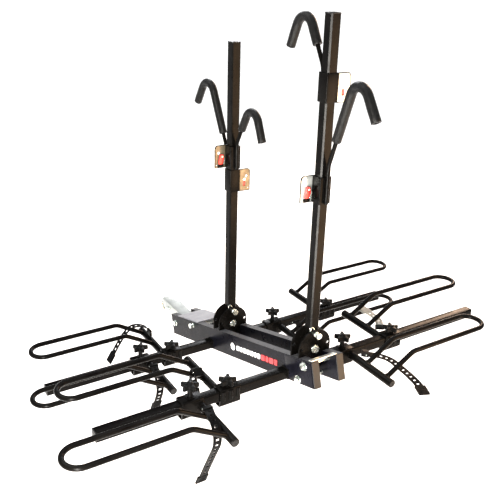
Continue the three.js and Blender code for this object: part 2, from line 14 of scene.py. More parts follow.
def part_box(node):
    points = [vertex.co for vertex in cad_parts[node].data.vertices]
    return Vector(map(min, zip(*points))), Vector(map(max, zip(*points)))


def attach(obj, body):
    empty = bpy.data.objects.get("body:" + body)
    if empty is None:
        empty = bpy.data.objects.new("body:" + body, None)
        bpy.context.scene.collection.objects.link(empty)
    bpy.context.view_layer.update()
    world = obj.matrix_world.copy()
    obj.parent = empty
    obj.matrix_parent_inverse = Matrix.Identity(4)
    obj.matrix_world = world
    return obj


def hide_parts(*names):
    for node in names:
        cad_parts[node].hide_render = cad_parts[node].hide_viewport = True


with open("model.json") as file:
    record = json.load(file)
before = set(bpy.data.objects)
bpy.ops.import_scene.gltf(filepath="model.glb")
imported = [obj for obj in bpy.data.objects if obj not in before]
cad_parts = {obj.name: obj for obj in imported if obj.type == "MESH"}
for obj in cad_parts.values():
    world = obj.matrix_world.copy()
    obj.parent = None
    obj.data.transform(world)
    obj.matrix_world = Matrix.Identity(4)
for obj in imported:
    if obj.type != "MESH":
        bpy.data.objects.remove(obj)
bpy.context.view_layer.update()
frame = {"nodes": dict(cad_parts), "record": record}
NODES = frame["nodes"]
BODY = {n: b for b, names in frame["record"]["behaviour"]["bodies"].items() for n in names}
MM = 0.001


# ---------- camera, floor and light ----------

scene = bpy.context.scene
scene.view_settings.view_transform = "Standard"


def make_camera():
    """A camera behind the rack on its left, a little above it."""
    data = bpy.data.cameras.new("camera")
    data.lens = 49.0
    data.sensor_width = 36.0
    data.clip_end = 200
    camera = bpy.data.objects.new("camera", data)
    scene.collection.objects.link(camera)
    azimuth, elevation, roll = math.radians(57.57), math.radians(22.81), math.radians(1.58)
    forward = Vector(
        (
            -math.sin(azimuth) * math.cos(elevation),
            math.cos(azimuth) * math.cos(elevation),
            -math.sin(elevation),
        )
    )
    turn = forward.to_track_quat("-Z", "Y").to_matrix() @ Matrix.Rotation(roll, 3, "Z")
    camera.matrix_world = Matrix.Translation((2.3479, -1.1162, 1.3834)) @ turn.to_4x4()
    scene.camera = camera


def make_light(name, place, target, size, power, color):
    data = bpy.data.lights.new(name, "AREA")
    data.shape = "RECTANGLE"
    data.size, data.size_y = size
    data.energy = power
    data.color = color
    light = bpy.data.objects.new(name, data)
    scene.collection.objects.link(light)
    light.location = place
    light.rotation_mode = "QUATERNION"
    light.rotation_quaternion = (Vector(target) - Vector(place)).to_track_quat("-Z", "Y")


def make_studio():
    """White floor, five lamps, and a pale sky with a dark band for the black paint to reflect."""
    world = bpy.data.worlds.new("studio")
    scene.world = world
    world.use_nodes = True
    tree = world.node_tree
    background = tree.nodes["Background"]
    coordinates = tree.nodes.new("ShaderNodeTexCoord")
    parts = tree.nodes.new("ShaderNodeSeparateXYZ")
    ramp = tree.nodes.new("ShaderNodeValToRGB")
    tree.links.new(coordinates.outputs["Generated"], parts.inputs[0])
    tree.links.new(parts.outputs["Z"], ramp.inputs[0])
    tree.links.new(ramp.outputs[0], background.inputs[0])
    stops = ramp.color_ramp.elements
    stops[0].position, stops[1].position = 0.34, 0.72
    stops[0].color, stops[1].color = (0.45, 0.45, 0.46, 1), (1, 1, 1, 1)
    for place in (0.41, 0.58):
        stops.new(place).color = (0.03, 0.03, 0.031, 1)
    background.inputs["Strength"].default_value = 2.2
    make_light("key", (-0.9, -1.2, 3.4), (0.6, 0, 0.3), (1.6, 1.6), 70, (1, 1, 1))
    make_light("edge", (2.15, -1.48, 0.45), (0.95, 0, 0.8), (0.3, 1.6), 270, (1, 0.95, 0.88))
    make_light("warm", (2.45, 1.18, 0.4), (0.9, 0, 0.7), (0.8, 1.5), 64, (1, 0.6, 0.3))
    make_light("far", (-3.3, 2.2, 2.6), (0.5, 0, 0.2), (0.9, 0.7), 60, (0.96, 0.97, 1))
    make_light("tan", (-1.9, 4.25, 2.45), (0.9, 0.6, 0.2), (1.1, 0.9), 150, (1, 0.7, 0.5))
    mesh = bpy.data.meshes.new("floor")
    half = 60
    corners = [(-half, -half, 0), (half, -half, 0), (half, half, 0), (-half, half, 0)]
    mesh.from_pydata(corners, [], [(0, 1, 2, 3)])
    floor = bpy.data.objects.new("floor", mesh)
    floor.location.z = -0.42
    scene.collection.objects.link(floor)
    floor.data.materials.append(plain_material("floor_white", (0.93, 0.93, 0.93), 0.9))


# ---------- materials ----------


def plain_material(name, color, roughness):
    made = bpy.data.materials.new(name)
    made.use_nodes = True
    shader = made.node_tree.nodes["Principled BSDF"]
    shader.inputs["Base Color"].default_value = (*color, 1)
    shader.inputs["Roughness"].default_value = roughness
    return made


def finish_material(
    name,
    dark,
    light,
    roughness,
    metallic=0.0,
    specular=0.5,
    patch_scale=14.0,
    grain=(900.0, 0.25, 0.00012),
    cells=None,
    top_light_and_dust=0.0,
):
    """Two tones mixed by soft patches, uneven gloss and a fine relief.

    grain is the relief's (scale, strength, depth in metres); cells is the scale of a cell pattern that
    takes the relief's place; the last argument is how far faces that look up fade to grey, which is
    painted light from above on the rails and the cover and a faint film of dirt on the black paint.
    """
    made = bpy.data.materials.new(name)
    made.use_nodes = True
    tree = made.node_tree
    nodes, links = tree.nodes, tree.links
    shader = nodes["Principled BSDF"]
    shader.inputs["Metallic"].default_value = metallic
    shader.inputs["Specular IOR Level"].default_value = specular
    where = nodes.new("ShaderNodeTexCoord").outputs["Object"]
    patches = nodes.new("ShaderNodeTexNoise")
    patches.inputs["Scale"].default_value = patch_scale
    patches.inputs["Detail"].default_value = 6
    links.new(where, patches.inputs["Vector"])
    tones = nodes.new("ShaderNodeValToRGB")
    tones.color_ramp.elements[0].position = 0.35
    tones.color_ramp.elements[1].position = 0.68
    tones.color_ramp.elements[0].color = (*dark, 1)
    tones.color_ramp.elements[1].color = (*light, 1)
    links.new(patches.outputs["Fac"], tones.inputs[0])
    color = tones.outputs["Color"]
    # Faces that look up fade towards a grey: painted light from above on the tops, with a little dirt.
    if top_light_and_dust:
        normal = nodes.new("ShaderNodeNewGeometry").outputs["Normal"]
        up = nodes.new("ShaderNodeSeparateXYZ")
        links.new(normal, up.inputs[0])
        facing = nodes.new("ShaderNodeMapRange")
        facing.inputs["From Min"].default_value = 0.55
        facing.inputs["To Max"].default_value = top_light_and_dust
        links.new(up.outputs["Z"], facing.inputs["Value"])
        mix = nodes.new("ShaderNodeMix")
        mix.data_type = "RGBA"
        links.new(facing.outputs[0], mix.inputs[0])
        links.new(color, mix.inputs[6])
        # The grey that the tops fade to: painted light from above.
        mix.inputs[7].default_value = (0.3, 0.3, 0.31, 1)
        color = mix.outputs[2]
    links.new(color, shader.inputs["Base Color"])
    gloss = nodes.new("ShaderNodeMapRange")
    gloss.inputs["From Min"].default_value = 0.3
    gloss.inputs["From Max"].default_value = 0.7
    gloss.inputs["To Min"].default_value = roughness * 0.85
    gloss.inputs["To Max"].default_value = min(roughness * 1.2, 1)
    wear = nodes.new("ShaderNodeTexNoise")
    wear.inputs["Scale"].default_value = patch_scale * 3.1
    wear.inputs["Detail"].default_value = 4
    links.new(where, wear.inputs["Vector"])
    links.new(wear.outputs["Fac"], gloss.inputs["Value"])
    links.new(gloss.outputs[0], shader.inputs["Roughness"])
    if cells:
        relief = nodes.new("ShaderNodeTexVoronoi")
        relief.inputs["Scale"].default_value = cells
        height = relief.outputs["Distance"]
    else:
        relief = nodes.new("ShaderNodeTexNoise")
        relief.inputs["Scale"].default_value = grain[0]
        relief.inputs["Detail"].default_value = 3
        height = relief.outputs["Fac"]
    links.new(where, relief.inputs["Vector"])
    bump = nodes.new("ShaderNodeBump")
    bump.inputs["Strength"].default_value = grain[1]
    bump.inputs["Distance"].default_value = grain[2]
    links.new(height, bump.inputs["Height"])
    links.new(bump.outputs["Normal"], shader.inputs["Normal"])
    return made


MATERIALS = {
    "black_paint": finish_material(
        "black_paint", (0.0008, 0.0007, 0.0006), (0.0022, 0.002, 0.0018), 0.24, specular=0.034, top_light_and_dust=0.002
    ),
    # The rails' and the cover's tops turn grey where they face up: painted light from above.
    "rail_paint": finish_material(
        "rail_paint", (0.0018, 0.0018, 0.003), (0.0035, 0.0035, 0.0055), 0.3, specular=0.045, top_light_and_dust=0.2
    ),
    "cover_paint": finish_material(
        "cover_paint", (0.13, 0.13, 0.15), (0.18, 0.18, 0.2), 0.34, specular=0.3, top_light_and_dust=0.3
    ),
    "zinc": finish_material(
        "zinc",
        (0.4, 0.45, 0.42),
        (0.72, 0.75, 0.7),
        0.24,
        metallic=0.95,
        patch_scale=60,
        grain=(1400, 0.2, 0.00008),
    ),
    "latch_zinc": finish_material(
        "latch_zinc",
        (0.085, 0.07, 0.045),
        (0.14, 0.115, 0.08),
        0.4,
        metallic=0.7,
        patch_scale=45,
        grain=(1200, 0.25, 0.0001),
    ),
    # Bright zinc for the tongue and the tie bar. On the rear latch plates, its lightness over the front
    # plates' zinc is painted light.
    "bright_zinc_and_lit_latch": finish_material(
        "bright_zinc_and_lit_latch",
        (0.33, 0.35, 0.34),
        (0.46, 0.48, 0.46),
        0.34,
        metallic=0.75,
        patch_scale=24,
        grain=(1400, 0.1, 0.00004),
    ),
    "foam": finish_material(
        "foam",
        (0.0015, 0.0015, 0.0015),
        (0.004, 0.004, 0.004),
        0.3,
        specular=0.09,
        patch_scale=110,
        grain=(1, 0.55, 0.0006),
        cells=1100,
    ),
    "strap": finish_material(
        "strap", (0.001, 0.001, 0.001), (0.003, 0.003, 0.003), 0.4, specular=0.02, grain=(700, 0.3, 0.0002)
    ),
    # A pale copy of the strap rubber: a painted reflection, for the one strap that shows a sheen.
    "strap_painted_sheen": finish_material(
        "strap_painted_sheen", (0.1, 0.1, 0.085), (0.22, 0.22, 0.19), 0.42, grain=(700, 0.3, 0.0002)
    ),
    "knob_plastic": finish_material(
        "knob_plastic",
        (0.001, 0.001, 0.001),
        (0.003, 0.003, 0.003),
        0.3,
        specular=0.04,
        grain=(1500, 0.3, 0.0001),
    ),
    "cap_plastic": finish_material(
        "cap_plastic", (0.005, 0.005, 0.005), (0.01, 0.01, 0.01), 0.34, specular=0.14
    ),
    "plug_plastic": finish_material(
        "plug_plastic",
        (0.005, 0.005, 0.005),
        (0.01, 0.01, 0.01),
        0.45,
        specular=0.08,
        grain=(1500, 0.3, 0.0001),
    ),
    "lever_red": finish_material(
        "lever_red", (0.36, 0.012, 0.01), (0.46, 0.022, 0.016), 0.33, grain=(1300, 0.2, 0.0001)
    ),
    "mark_white": finish_material(
        "mark_white", (0.8, 0.8, 0.8), (0.9, 0.9, 0.9), 0.4, grain=(1500, 0.1, 0.00005)
    ),
    "mark_red": finish_material(
        "mark_red", (0.38, 0.008, 0.012), (0.46, 0.012, 0.016), 0.4, grain=(1500, 0.1, 0.00005)
    ),
}


# ---------- meshes ----------

SHARP = 38  # degrees between two faces that meet in an edge instead of a smooth turn


class Shape:
    """Vertices and faces gathered in millimetres; each face keeps the name of its material."""

    def __init__(self):
        self.verts, self.faces, self.finishes = [], [], []

    def add(self, part, finish, place=None):
        verts, faces = part
        start = len(self.verts)
        self.verts += [place @ Vector(v) if place else Vector(v) for v in verts]
        self.faces += [[i + start for i in face] for face in faces]
        self.finishes += [finish] * len(faces)


def dress(obj, finishes, smooth):
    """Gives each face its material, in the piece's slots in the order the materials first appear."""
    used = list(dict.fromkeys(finishes))
    for finish in used:
        obj.data.materials.append(MATERIALS[finish])
    for polygon, finish in zip(obj.data.polygons, finishes):
        polygon.material_index = used.index(finish)
    soften(obj.data, smooth)


def soften(mesh, angle):
    """Smooth shading that stays sharp where faces turn by more than an angle in degrees."""
    mesh.polygons.foreach_set("use_smooth", [True] * len(mesh.polygons))
    mesh.set_sharp_from_angle(angle=math.radians(angle))


def make(name, shape, body, replaced=(), smooth=SHARP, at=(0, 0, 0)):
    """A piece from a shape, put at a place in millimetres; it rides on a body and may replace CAD nodes."""
    mesh = bpy.data.meshes.new(name)
    offset = Vector(at)
    mesh.from_pydata([(v + offset) * MM for v in shape.verts], [], shape.faces)
    net = bmesh.new()
    net.from_mesh(mesh)
    bmesh.ops.recalc_face_normals(net, faces=net.faces)
    net.to_mesh(mesh)
    net.free()
    obj = bpy.data.objects.new(name, mesh)
    scene.collection.objects.link(obj)
    dress(obj, shape.finishes, smooth)
    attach(obj, body)
    if replaced:
        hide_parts(*replaced)
    return obj


def round_edges(obj, width, angle=SHARP):
    """Rounds the edges that turn by more than an angle in degrees."""
    bevel = obj.modifiers.new("edges", "BEVEL")
    bevel.width = width * MM
    bevel.segments = 2
    bevel.limit_method = "ANGLE"
    bevel.angle_limit = math.radians(angle)
    bevel.harden_normals = True


def refine(node, finish, width, top=None):
    """Replaces a CAD node with a copy of it, up to a height, with clean faces and rounded edges."""
    mesh = NODES[node].data.copy()
    mesh.name = node + "_fine"
    if "custom_normal" in mesh.attributes:
        mesh.attributes.remove(mesh.attributes["custom_normal"])
    net = bmesh.new()
    net.from_mesh(mesh)
    bmesh.ops.remove_doubles(net, verts=net.verts, dist=3e-5)
    bmesh.ops.dissolve_limit(net, angle_limit=math.radians(1.2), verts=net.verts, edges=net.edges)
    if top is not None:
        everything = net.verts[:] + net.edges[:] + net.faces[:]
        level = Vector((0, 0, top * MM)) - NODES[node].matrix_world.translation
        bmesh.ops.bisect_plane(net, geom=everything, plane_co=level, plane_no=(0, 0, 1), clear_outer=True)
    net.to_mesh(mesh)
    net.free()
    mesh.materials.clear()
    obj = bpy.data.objects.new(node + "_fine", mesh)
    scene.collection.objects.link(obj)
    dress(obj, [finish] * len(mesh.polygons), SHARP)
    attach(obj, BODY[node])
    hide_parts(node)
    round_edges(obj, width)


def slab(loops, thick, bevel=0.0, steps=2):
    """Flat outline with holes in XY, made thick about z = 0, with rounded rims."""
    curve = bpy.data.curves.new("outline", "CURVE")
    curve.dimensions = "2D"
    curve.fill_mode = "BOTH"
    curve.extrude = thick / 2 - bevel
    curve.bevel_depth = bevel
    curve.bevel_resolution = steps
    curve.offset = -bevel
    for loop in loops:
        spline = curve.splines.new("POLY")
        spline.points.add(len(loop) - 1)
        for point, (x, y) in zip(spline.points, loop):
            point.co = (x, y, 0, 1)
        spline.use_cyclic_u = True
    holder = bpy.data.objects.new("outline", curve)
    scene.collection.objects.link(holder)
    depsgraph = bpy.context.evaluated_depsgraph_get()
    mesh = bpy.data.meshes.new_from_object(holder.evaluated_get(depsgraph))
    net = bmesh.new()
    net.from_mesh(mesh)
    bmesh.ops.remove_doubles(net, verts=net.verts, dist=0.01)
    net.verts.index_update()
    part = ([v.co.copy() for v in net.verts], [[v.index for v in f.verts] for f in net.faces])
    net.free()
    bpy.data.objects.remove(holder)
    bpy.data.curves.remove(curve)
    bpy.data.meshes.remove(mesh)
    return part


def circle(radius, x=0.0, y=0.0, sides=28):
    return [
        (
            x + radius * math.cos(2 * math.pi * i / sides),
            y + radius * math.sin(2 * math.pi * i / sides),
        )
        for i in range(sides)
    ]


def round_outline(corners, radius, steps=4):
    """A closed outline with each corner replaced by an arc."""
    points = []
    count = len(corners)
    radii = radius if isinstance(radius, (list, tuple)) else [radius] * count
    for i in range(count):
        here = Vector(corners[i])
        before = (Vector(corners[i - 1]) - here).normalized()
        after = (Vector(corners[(i + 1) % count]) - here).normalized()
        bend = before.angle(after)
        if radii[i] <= 0 or bend > 3.1:
            points.append(tuple(here))
            continue
        reach = radii[i] / math.tan(bend / 2)
        centre = here + (before + after).normalized() * (radii[i] / math.sin(bend / 2))
        start = here + before * reach - centre
        end = here + after * reach - centre
        turn = start.angle_signed(end)
        for j in range(steps + 1):
            a = -turn * j / steps
            c, s = math.cos(a), math.sin(a)
            points.append((centre.x + start.x * c - start.y * s, centre.y + start.x * s + start.y * c))
    return points


def bent(corners, radii, step=8):
    """A path whose inner corners are arcs."""
    corners = [Vector(c) for c in corners]
    points = [corners[0]]
    for i in range(1, len(corners) - 1):
        into = (corners[i] - corners[i - 1]).normalized()
        out = (corners[i + 1] - corners[i]).normalized()
        turn = into.angle(out)
        axis = into.cross(out).normalized()
        start = corners[i] - into * radii[i - 1] * math.tan(turn / 2)
        centre = start + axis.cross(into) * radii[i - 1]
        count = max(2, math.ceil(math.degrees(turn) / step))
        for j in range(count + 1):
            spoke = Matrix.Rotation(turn * j / count, 3, axis) @ (start - centre)
            points.append(centre + spoke)
    points.append(corners[-1])
    return points


def fill_in(points, spacing):
    """Adds points along straight stretches so that none is longer than spacing."""
    dense = [points[0]]
    for a, b in zip(points, points[1:]):
        count = max(1, math.ceil((b - a).length / spacing))
        dense += [a.lerp(b, j / count) for j in range(1, count + 1)]
    return dense


def from_length(points, length):
    """The rest of a path, from a given length along it."""
    for i in range(1, len(points)):
        step = (points[i] - points[i - 1]).length
        if step > length:
            return [points[i - 1].lerp(points[i], length / step)] + points[i:]
        length -= step
    return points[-2:]


def frames_along(points, side=None):
    """Tangent and two cross directions at each point, turned as little as possible or kept along side."""
    result = []
    last = None
    for i in range(len(points)):
        before = points[max(i - 1, 0)]
        after = points[min(i + 1, len(points) - 1)]
        along = (after - before).normalized()
        hint = side or last or (Vector((0, 0, 1)) if abs(along.z) < 0.9 else Vector((1, 0, 0)))
        across = (hint - along * hint.dot(along)).normalized()
        last = across
        result.append((along, across, along.cross(across)))
    return result


def tube(points, radius, sides=20, ends=((1.0, 0.0),), rough=0.0):
    """A round bar along a path; ends lists the rings that finish it as (share of the radius, distance in)."""
    frames = frames_along(points)
    rings = []
    size = radius if isinstance(radius, (list, tuple)) else [radius] * len(points)
    for i, (point, (along, u, v)) in enumerate(zip(points, frames)):
        if i == 0:
            rings += [(point + along * d, u, v, share * size[0]) for share, d in reversed(ends)]
        elif i == len(points) - 1:
            rings += [(point - along * d, u, v, share * size[-1]) for share, d in ends]
        else:
            rings.append((point, u, v, size[i]))
    verts, faces = [], []
    for point, u, v, r in rings:
        for j in range(sides):
            a = 2 * math.pi * j / sides
            spot = point + (u * math.cos(a) + v * math.sin(a)) * r
            if rough:
                spot += (spot - point).normalized() * noise.noise(spot * 0.05) * rough
            verts.append(spot)
    for i in range(len(rings) - 1):
        for j in range(sides):
            k = (j + 1) % sides
            faces.append([i * sides + j, i * sides + k, (i + 1) * sides + k, (i + 1) * sides + j])
    faces.append(list(range(sides)))
    faces.append([(len(rings) - 1) * sides + j for j in range(sides)])
    return verts, faces


def rod(a, b, radius, sides=28, rim=0.6):
    """A straight round bar with rounded rims."""
    share = max(0.05, (radius - rim) / radius)
    ends = ((1.0, rim), (share, 0.0))
    return tube([Vector(a), Vector(b)], radius, sides, ends)


def weld_ring(centre, axis, radius, fat, seed):
    """A lumpy ring of weld bead."""
    axis = Vector(axis).normalized()
    u = axis.orthogonal().normalized()
    v = axis.cross(u)
    count = 26
    verts, faces = [], []
    for i in range(count):
        a = 2 * math.pi * i / count
        out = u * math.cos(a) + v * math.sin(a)
        lump = 1 + 0.22 * math.sin(a * 11 + seed)
        for j in range(8):
            b = 2 * math.pi * j / 8
            spot = out * (radius + math.cos(b) * fat * lump) + axis * math.sin(b) * fat * lump
            verts.append(Vector(centre) + spot)
    for i in range(count):
        for j in range(8):
            k, m = (i + 1) % count, (j + 1) % 8
            faces.append([i * 8 + j, k * 8 + j, k * 8 + m, i * 8 + m])
    return verts, faces


def seam(a, b, fat, seed=0.0):
    """A straight weld bead with ripples."""
    a, b = Vector(a), Vector(b)
    count = max(6, int((b - a).length / 2.2))
    points = [a.lerp(b, i / count) for i in range(count + 1)]
    sizes = [fat * (1 + 0.2 * math.sin(i * 2.1 + seed)) for i in range(count + 1)]
    return tube(points, sizes, 8, ((1.0, 0.0), (0.5, 0.0)))


def facing(x_axis, y_axis, place):
    """Matrix that lays a slab's own x and y along two directions, with its middle at place."""
    x, y = Vector(x_axis), Vector(y_axis)
    z = x.cross(y)
    made = Matrix((x, y, z)).transposed().to_4x4()
    made.translation = Vector(place)
    return made


# ---------- the driving dimensions, in millimetres ----------

TUBE = 31.75
HITCH_BAR = 50.8
FOOT_TOP = 50  # height of the uprights' CAD foot that is kept, above the fold bolt
PITCH = math.radians(16.65)
RAIL_HEIGHT = 82
RAIL_FACE = 57  # outer face of the rails, from the middle of the rack
KNOB = {"tip": 27.2, "waist": 13, "thick": 15}
CROSS_TUBE = {"radius": 12.7, "offset": 24, "end": 213.2}
LOOP = {"rod": 8, "inner": 92, "outer": 181, "rise": 65, "bend": 108, "foot": 2, "left": 430, "right": 446}
COLLAR = {"height": 76, "outer": TUBE / 2 + 3.4, "rod": 25.5, "bar": 6}
LATCH = {"reach": 38, "thick": 3, "pin": 40}  # plate beside the collar, and the height of its lever's pin
FOAM = 13
# Hook rods: heights from the collar's foot, angles from the vertical in degrees, the length of bare rod
# past the knee, and how far the stem drifts along Y for each millimetre it climbs.
LONG = {"knee": 110, "apex": 337, "lean": 22, "fall": 33, "bend": 38, "tip": 68, "bare": 77, "drift": 0.055}
SHORT = {"knee": 86, "apex": 204, "lean": 29.5, "fall": 24, "bend": 38, "tip": 65, "bare": 57, "drift": 0}
# Each hook's rod, and the side along X that it stands on.
HOOKS = {
    "front_upper": (SHORT, 1),
    "front_lower": (LONG, -1),
    "rear_upper": (SHORT, -1),
    "rear_lower": (LONG, 1),
}
# Each cradle's tube direction along X, loop direction along Y, and the way its strap lies.
CRADLES = {
    "front_left_inner": (-1, -1, "arched"),
    "front_left_outer": (1, -1, "short"),
    "front_right_inner": (1, 1, "tucked"),
    "front_right_outer": (-1, 1, "tucked"),
    "rear_left_inner": (-1, -1, "tucked"),
    "rear_left_outer": (1, -1, "hanging"),
    "rear_right_inner": (1, 1, "across"),
    "rear_right_outer": (-1, 1, "under"),
}
# Strap routes from the clamp: along the cross tube, from the tube towards the loop's end, and up.
STRAPS = {
    "hanging": [
        (60, 4, 17.5), (80, 9, 25), (92, 12, 29.5), (106, 17, 32.5), (128, 22, 33), (150, 26, 28),
        (163, 28, 14), (167, 28, -8), (163, 28.5, -34), (150, 29, -62), (127, 29, -108),
        (96, 29, -172), (72, 29, -222),
    ],
    "short": [
        (60, 4, 17.5), (80, 9, 25), (92, 12, 29.5), (106, 17, 32.5), (128, 22, 33), (150, 26, 28),
        (163, 28, 14), (167, 28, -8), (163, 28.5, -30), (152, 29, -55), (124, 29, -108),
    ],
    "across": [
        (50, 16, 17), (70, 38, 15), (92, 60, 14), (125, 72, 14), (169, 69, 14), (220, 62, 14),
        (267, 52, 13), (312, 34, 11),
    ],
    "under": [(42, 16, 17), (66, 36, 14.5), (92, 56, 12), (125, 64, 12), (160, 66, 12), (198, 65, 12)],
    "tucked": [
        (73, 29, 28), (81, 29, 38), (92, 29, 41), (103, 29, 38), (111, 29, 26), (113, 29, 6),
        (111, 29, -22), (104, 29, -54), (98, 29, -76),
    ],
    "arched": [
        (136, 3, 17.5), (136, 1, 31), (136, 7, 47), (136, 24, 61), (136, 49, 70), (136, 75, 67),
        (136, 98, 47), (136, 121, 17), (136, 144, -20), (136, 163, -50),
    ],
}


def middle(node):
    """The middle of a CAD node's box, in millimetres."""
    low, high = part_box(node)
    return (low + high) / 2 / MM


ARM = {end: middle(end + "_arm") for end in ("front", "rear")}
BELOW_BOLT = 9  # how far an upright reaches below its fold bolt
UPRIGHT = {}
for end in ("front", "rear"):
    low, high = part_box(end + "_upright")
    UPRIGHT[end] = Vector(((low.x + high.x) / 2 / MM, 0, low.z / MM + BELOW_BOLT))
RAIL_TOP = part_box("rail_left")[1] / MM
RAIL_END = Vector((RAIL_TOP.x - RAIL_HEIGHT * math.sin(PITCH), 0, RAIL_TOP.z))
SPINE = Matrix.Translation(RAIL_END) @ Matrix.Rotation(-PITCH, 4, "Y")


# ---------- wheel cradles ----------


def clamp_part(shape):
    """The cradle's clamp: a chamfered box with a bore for the arm and a slot below it."""
    outline = round_outline(
        [(-21, 22), (-21, -28), (-11, -38), (11, -38), (21, -28), (21, 22)], [4, 5, 5, 5, 5, 4]
    )
    hole = round_outline([(-16.3, 16.3), (16.3, 16.3), (16.3, -16.3), (-16.3, -16.3)], 3)
    slot = round_outline([(-12, -20.5), (12, -20.5), (12, -33), (-12, -33)], 2)
    place = facing((1, 0, 0), (0, 0, 1), (0, 0, 0))
    shape.add(slab([outline, hole, slot], 68, 1.6), "black_paint", place)


def cradle(name, side, out, route):
    """Clamp, cross tube and wheel loop; side is the tube's direction along X, out the loop's along Y."""
    end = name.split("_")[0]
    knob_middle = middle(name + "_knob")
    at = Vector((ARM[end].x, knob_middle.y, ARM[end].z))
    shape = Shape()
    clamp_part(shape)
    for offset, size in ((-24, 6.5), (0, 7.5), (24, 6.5)):
        foot = Vector((-side * 19, offset, -14))
        shape.add(rod(foot, foot + Vector((0, 0, 32)), size, 20), "black_paint")
    shape.add(rod((0, 0, 19), (0, 0, 25.5), 12.5, 32, 1.2), "black_paint")
    y = side * CROSS_TUBE["offset"]
    tube_end = Vector((side * CROSS_TUBE["end"], y, 0))
    shape.add(rod((side * 18, y, 0), tube_end, CROSS_TUBE["radius"], 36, 0.9), "black_paint")
    plug_ring = [(1.0, 0.5), (0.9, 0.0), (0.35, 0.0), (0.3, 1.2)]
    plug_path = [tube_end - Vector((side * 3, 0, 0)), tube_end + Vector((side * 1.4, 0, 0))]
    shape.add(tube(plug_path, 10.4, 32, plug_ring), "plug_plastic")
    shape.add(weld_ring((side * 21.6, y, 0), (1, 0, 0), 13.2, 1.9, y), "black_paint")
    inner, outer, rise, foot = side * LOOP["inner"], side * LOOP["outer"], LOOP["rise"], LOOP["foot"]
    near, knee = y + out * foot, y + out * LOOP["bend"]
    far = y + out * LOOP["right" if out > 0 else "left"]
    corner = (LOOP["outer"] - LOOP["inner"]) / 2 - 0.1
    path = bent(
        [
            (inner, near, foot),
            (inner, knee, rise),
            (inner, far, rise),
            (outer, far, rise),
            (outer, knee, rise),
            (outer, near, foot),
        ],
        [40, corner, corner, 40],
    )
    shape.add(tube(path, LOOP["rod"], 24), "black_paint")
    slope = Vector((0, knee - near, rise - foot)).normalized()
    for x in (inner, outer):
        weld = Vector((x, near, foot)) + slope * 10.6
        shape.add(weld_ring(weld, slope, 8.2, 1.7, x), "black_paint")
    make(name + "_cradle_look", shape, name + "_cradle", [name + "_cradle"], at=at)
    ladder_strap(name, side, out, route, at)
    star_knob(name, at)


def smooth_path(points, spacing):
    """Catmull-Rom curve through the points, at even spacing."""
    pts = [Vector(p) for p in points]
    pts = [pts[0] * 2 - pts[1]] + pts + [pts[-1] * 2 - pts[-2]]
    fine = []
    for i in range(1, len(pts) - 2):
        a, b, c, d = pts[i - 1 : i + 3]
        for j in range(10):
            t = j / 10
            fine.append(
                (b * 2 + (c - a) * t + (a * 2 - b * 5 + c * 4 - d) * t * t + (b * 3 - a - c * 3 + d) * t**3)
                / 2
            )
    fine.append(pts[-2])
    total = sum((q - p).length for p, q in zip(fine, fine[1:]))
    count = max(2, round(total / spacing))
    return [from_length(fine, total * k / count)[0] for k in range(count)] + [fine[-1]]


def ribbon(points, across, columns, thick, open_rows=()):
    """A flat band: columns are its edges across; open_rows are rows whose middle is a hole."""
    frames = frames_along(points, across)
    levels = []
    for sign in (0.5, -0.5):
        grid = []
        for point, (_, u, v) in zip(points, frames):
            grid.append([point + u * c + v * thick * sign for c in columns])
        levels.append(grid)
    verts, index = [], {}
    for level, grid in enumerate(levels):
        for i, row in enumerate(grid):
            for j, spot in enumerate(row):
                index[level, i, j] = len(verts)
                verts.append(spot)
    rows, cols = len(points) - 1, len(columns) - 1
    solid = {(i, j) for i in range(rows) for j in range(cols) if not (i in open_rows and j == cols // 2)}
    faces = []
    for i, j in solid:
        faces.append([index[0, i, j], index[0, i, j + 1], index[0, i + 1, j + 1], index[0, i + 1, j]])
        faces.append([index[1, i, j], index[1, i + 1, j], index[1, i + 1, j + 1], index[1, i, j + 1]])
        edges = (
            ((i, j), (i, j + 1), (i - 1, j)),
            ((i + 1, j + 1), (i + 1, j), (i + 1, j)),
            ((i + 1, j), (i, j), (i, j - 1)),
            ((i, j + 1), (i + 1, j + 1), (i, j + 1)),
        )
        for a, b, neighbour in edges:
            if neighbour not in solid:
                faces.append([index[(0, *a)], index[(0, *b)], index[(1, *b)], index[(1, *a)]])
    return verts, faces


def ladder_strap(name, side, out, route, at):
    """A band with holes, a thick ridged pad at its free end, and the block that ties it to the cradle."""
    offset = CROSS_TUBE["offset"]
    place = [Vector((side * a, side * offset + out * b, z)) for a, b, z in STRAPS[route]]
    across = Vector((1, 0, 0)) if route == "arched" else Vector((0, 1, 0))
    points = smooth_path(place, 3.9)
    count = len(points) - 1
    pad_rows = 10
    holes = [i for i in range(8, count - pad_rows - 2) if i % 5 in (0, 1)]
    # The strap under the legs gets a pale copy of the black rubber: a painted reflection, for the sheen it
    # shows.
    finish = "strap_painted_sheen" if route == "under" else "strap"
    shape = Shape()
    columns = [-13, -10, -4.5, 4.5, 10, 13]
    shape.add(ribbon(points[: count - pad_rows + 2], across, columns, 3.2, holes), finish)
    pad = points[count - pad_rows :]
    shape.add(ribbon(pad, across, [-17, -14, 0, 14, 17], 6.4), finish)
    ridge = pad[2:-2:2]
    for spot, (along, u, v) in zip(ridge, frames_along(ridge, across)):
        shape.add(tube([spot - u * 11 + v * 3.2, spot + u * 11 + v * 3.2], 1.0, 8), finish)
    along, u, v = frames_along(points, across)[3]
    block = round_outline([(-15, -12), (15, -12), (15, 12), (-15, 12)], 3)
    shape.add(slab([block], 8.5, 1.2), "knob_plastic", facing(u, along, points[3] + v * 1.0))
    shape.add(rod(points[4] - u * 15.5 + v * 3, points[4] + u * 15.5 + v * 3, 2.2, 14), "zinc")
    obj = make(name + "_strap_look", shape, name + "_cradle", [name + "_strap"], smooth=50, at=at)
    round_edges(obj, 0.7, 50)


